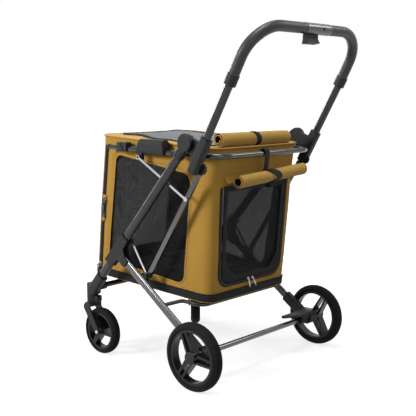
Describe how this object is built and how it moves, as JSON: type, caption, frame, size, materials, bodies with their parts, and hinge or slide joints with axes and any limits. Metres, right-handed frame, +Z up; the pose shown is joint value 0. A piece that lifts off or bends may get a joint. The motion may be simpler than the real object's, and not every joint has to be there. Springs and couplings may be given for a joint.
{
  "type": "pet stroller",
  "caption": "Folding pet stroller: oval-tube frame on swivel and fixed wheels carries a zipped box cabin with mesh door and windows; push handle, fold linkage, brake.",
  "frame": {"origin": "on the floor below the centre of the whole stroller's box", "axes": "+Z up, +Y towards the person who pushes, +X to the stroller's left side"},
  "size_m": [0.645, 0.7376, 1.0352],
  "materials": {
    "matt_black_tube": "matt black paint",
    "black_moulding": "moulded black plastic",
    "steel": "plain steel",
    "gloss_black_tube": "gloss black paint",
    "tyre": "solid foam rubber",
    "rim": "satin black plastic",
    "grip": "fine-grained black leather look",
    "gloss_moulding": "smooth black plastic",
    "ochre_cloth": "woven ochre polyester",
    "black_webbing": "woven black webbing",
    "mesh": "black mesh",
    "cushion_cloth": "dark grey cushion cloth",
    "pull_metal": "bright zip pull"
  },
  "bodies": {
    "frame": {"main_tube_left": "matt_black_tube", "main_tube_right": "matt_black_tube", "knuckles": "black_moulding", "leg_joints": "black_moulding", "caster_housings": "black_moulding", "front_cross_tube": "matt_black_tube", "frame_pins": "matt_black_tube"},
    "rear_legs": {"rear_leg_left": "matt_black_tube", "rear_leg_right": "matt_black_tube", "wheel_brackets": "black_moulding", "rear_cross_tube": "matt_black_tube", "rear_axles": "steel", "base_hoop": "matt_black_tube"},
    "shoes": {"leg_shoes": "black_moulding"},
    "links": {"link_tube_left": "matt_black_tube", "link_tube_right": "matt_black_tube"},
    "stays": {"leg_stays": "matt_black_tube"},
    "rail": {"seat_rail": "gloss_black_tube", "rail_adapters": "black_moulding", "rail_fittings": "black_moulding", "cabin_floor": "ochre_cloth", "cabin_side_left": "ochre_cloth", "cabin_side_right": "ochre_cloth", "cabin_front": "ochre_cloth", "cabin_rear": "ochre_cloth", "cabin_roof": "ochre_cloth", "cabin_hem": "black_webbing", "floor_cushion": "cushion_cloth", "rear_roll": "ochre_cloth", "roof_roll": "ochre_cloth", "roll_straps": "black_webbing"},
    "braces": {"rail_braces": "matt_black_tube"},
    "handle": {"handle_sleeve_left": "black_moulding", "handle_sleeve_right": "black_moulding", "handle_legs": "matt_black_tube", "handle_bow": "matt_black_tube", "grip_cover": "grip", "grip_collars": "black_moulding", "latch_housing": "gloss_moulding"},
    "trigger": {"fold_trigger": "gloss_moulding"},
    "release_button": {"latch_button": "gloss_moulding"},
    "rear_flap": {"rear_door": "mesh", "zip_pulls": "pull_metal"},
    "rear_wheel_left": {"rear_tyre_left": "tyre", "rear_rim_left": "rim"},
    "rear_wheel_right": {"rear_tyre_right": "tyre", "rear_rim_right": "rim"},
    "caster_left": {"caster_fork_left": "black_moulding", "front_axle_left": "steel"},
    "caster_right": {"caster_fork_right": "black_moulding", "front_axle_right": "steel"},
    "front_wheel_left": {"front_tyre_left": "tyre", "front_rim_left": "rim"},
    "front_wheel_right": {"front_tyre_right": "tyre", "front_rim_right": "rim"},
    "lock_left": {"swivel_lock_left": "black_moulding"},
    "lock_right": {"swivel_lock_right": "black_moulding"},
    "pedal": {"brake_pedal": "black_moulding"},
    "pin_left": {"brake_pin_left": "steel"},
    "pin_right": {"brake_pin_right": "steel"}
  },
  "joints": [
    {"name": "frame_fold", "type": "hinge", "parent": "frame", "child": "rear_legs", "pos_m": [0, -0.171, 0.3345], "axis": [1, 0, 0], "range_deg": [0, 62], "deforming": ["cabin_floor", "cabin_side_left", "cabin_side_right", "cabin_front", "cabin_rear", "cabin_roof", "cabin_hem", "floor_cushion", "rear_roll", "roof_roll", "roll_straps", "rear_door", "zip_pulls"]},
    {"name": "handle_fold", "type": "hinge", "parent": "frame", "child": "handle", "pos_m": [0, 0.107, 0.702], "axis": [1, 0, 0], "range_deg": [0, 111.8]},
    {"name": "shoe_slide", "type": "slide", "parent": "rear_legs", "child": "shoes", "axis": [0, 0.8127, -0.5827], "range_m": [0, 0.0651]},
    {"name": "link_fold", "type": "hinge", "parent": "shoes", "child": "links", "pos_m": [0, -0.074, 0.287], "axis": [1, 0, 0], "range_deg": [-63.22, 0]},
    {"name": "stay_fold", "type": "hinge", "parent": "shoes", "child": "stays", "pos_m": [0, -0.074, 0.287], "axis": [1, 0, 0], "range_deg": [0, 9.93]},
    {"name": "rail_fold", "type": "hinge", "parent": "frame", "child": "rail", "pos_m": [0, 0.05, 0.666], "axis": [1, 0, 0], "range_deg": [0, 47.57]},
    {"name": "brace_fold", "type": "hinge", "parent": "rail", "child": "braces", "pos_m": [0, -0.1105, 0.6488], "axis": [1, 0, 0], "range_deg": [0, 17.37]},
    {"name": "rear_wheel_left_spin", "type": "hinge", "parent": "rear_legs", "child": "rear_wheel_left", "pos_m": [0.302, 0.17, 0.1], "axis": [1, 0, 0], "continuous": true},
    {"name": "rear_wheel_right_spin", "type": "hinge", "parent": "rear_legs", "child": "rear_wheel_right", "pos_m": [-0.302, 0.17, 0.1], "axis": [1, 0, 0], "continuous": true},
    {"name": "caster_left_swivel", "type": "hinge", "parent": "frame", "child": "caster_left", "pos_m": [0.247, -0.333, 0.19], "axis": [0, 0, 1], "continuous": true},
    {"name": "caster_right_swivel", "type": "hinge", "parent": "frame", "child": "caster_right", "pos_m": [-0.247, -0.333, 0.19], "axis": [0, 0, 1], "continuous": true},
    {"name": "front_wheel_left_spin", "type": "hinge", "parent": "caster_left", "child": "front_wheel_left", "pos_m": [0.247, -0.287, 0.075], "axis": [1, 0, 0], "continuous": true},
    {"name": "front_wheel_right_spin", "type": "hinge", "parent": "caster_right", "child": "front_wheel_right", "pos_m": [-0.21336, -0.30163, 0.075], "axis": [0.682, -0.7314, 0], "continuous": true},
    {"name": "swivel_lock_left_slide", "type": "slide", "parent": "frame", "child": "lock_left", "axis": [0, 0, -1], "range_m": [0, 0.004]},
    {"name": "swivel_lock_right_slide", "type": "slide", "parent": "frame", "child": "lock_right", "axis": [0, 0, -1], "range_m": [0, 0.004]},
    {"name": "brake_tip", "type": "hinge", "parent": "rear_legs", "child": "pedal", "pos_m": [-0.22, 0.17, 0.1], "axis": [-1, 0, 0], "range_deg": [0, 22]},
    {"name": "brake_pin_left_slide", "type": "slide", "parent": "rear_legs", "child": "pin_left", "axis": [1, 0, 0], "range_m": [0, 0.0061]},
    {"name": "brake_pin_right_slide", "type": "slide", "parent": "rear_legs", "child": "pin_right", "axis": [-1, 0, 0], "range_m": [0, 0.0061]},
    {"name": "rear_door_swing", "type": "hinge", "parent": "rail", "child": "rear_flap", "pos_m": [0, 0.16284, 0.571], "axis": [1, 0, 0], "range_deg": [0, 70]},
    {"name": "fold_trigger_press", "type": "slide", "parent": "handle", "child": "trigger", "axis": [0, 0, 1], "range_m": [0, 0.005], "stiffness_N_per_m": 400, "springref_m": -0.002},
    {"name": "release_button_press", "type": "slide", "parent": "handle", "child": "release_button", "axis": [0, -1, 0], "range_m": [0, 0.0015], "stiffness_N_per_m": 400, "springref_m": -0.001}
  ],
  "couplings": [
    {"joint": "handle_fold", "follows": "frame_fold", "ratio": 1.8},
    {"joint": "link_fold", "follows": "frame_fold", "ratio": -1.0165},
    {"joint": "stay_fold", "follows": "frame_fold", "ratio": 0.157},
    {"joint": "rail_fold", "follows": "frame_fold", "ratio": 0.764},
    {"joint": "brace_fold", "follows": "frame_fold", "ratio": 0.277},
    {"joint": "shoe_slide", "follows": "frame_fold", "m_per_rad": 0.06},
    {"joint": "brake_pin_left_slide", "follows": "brake_tip", "m_per_rad": 0.01563},
    {"joint": "brake_pin_right_slide", "follows": "brake_tip", "m_per_rad": 0.01563}
  ]
}
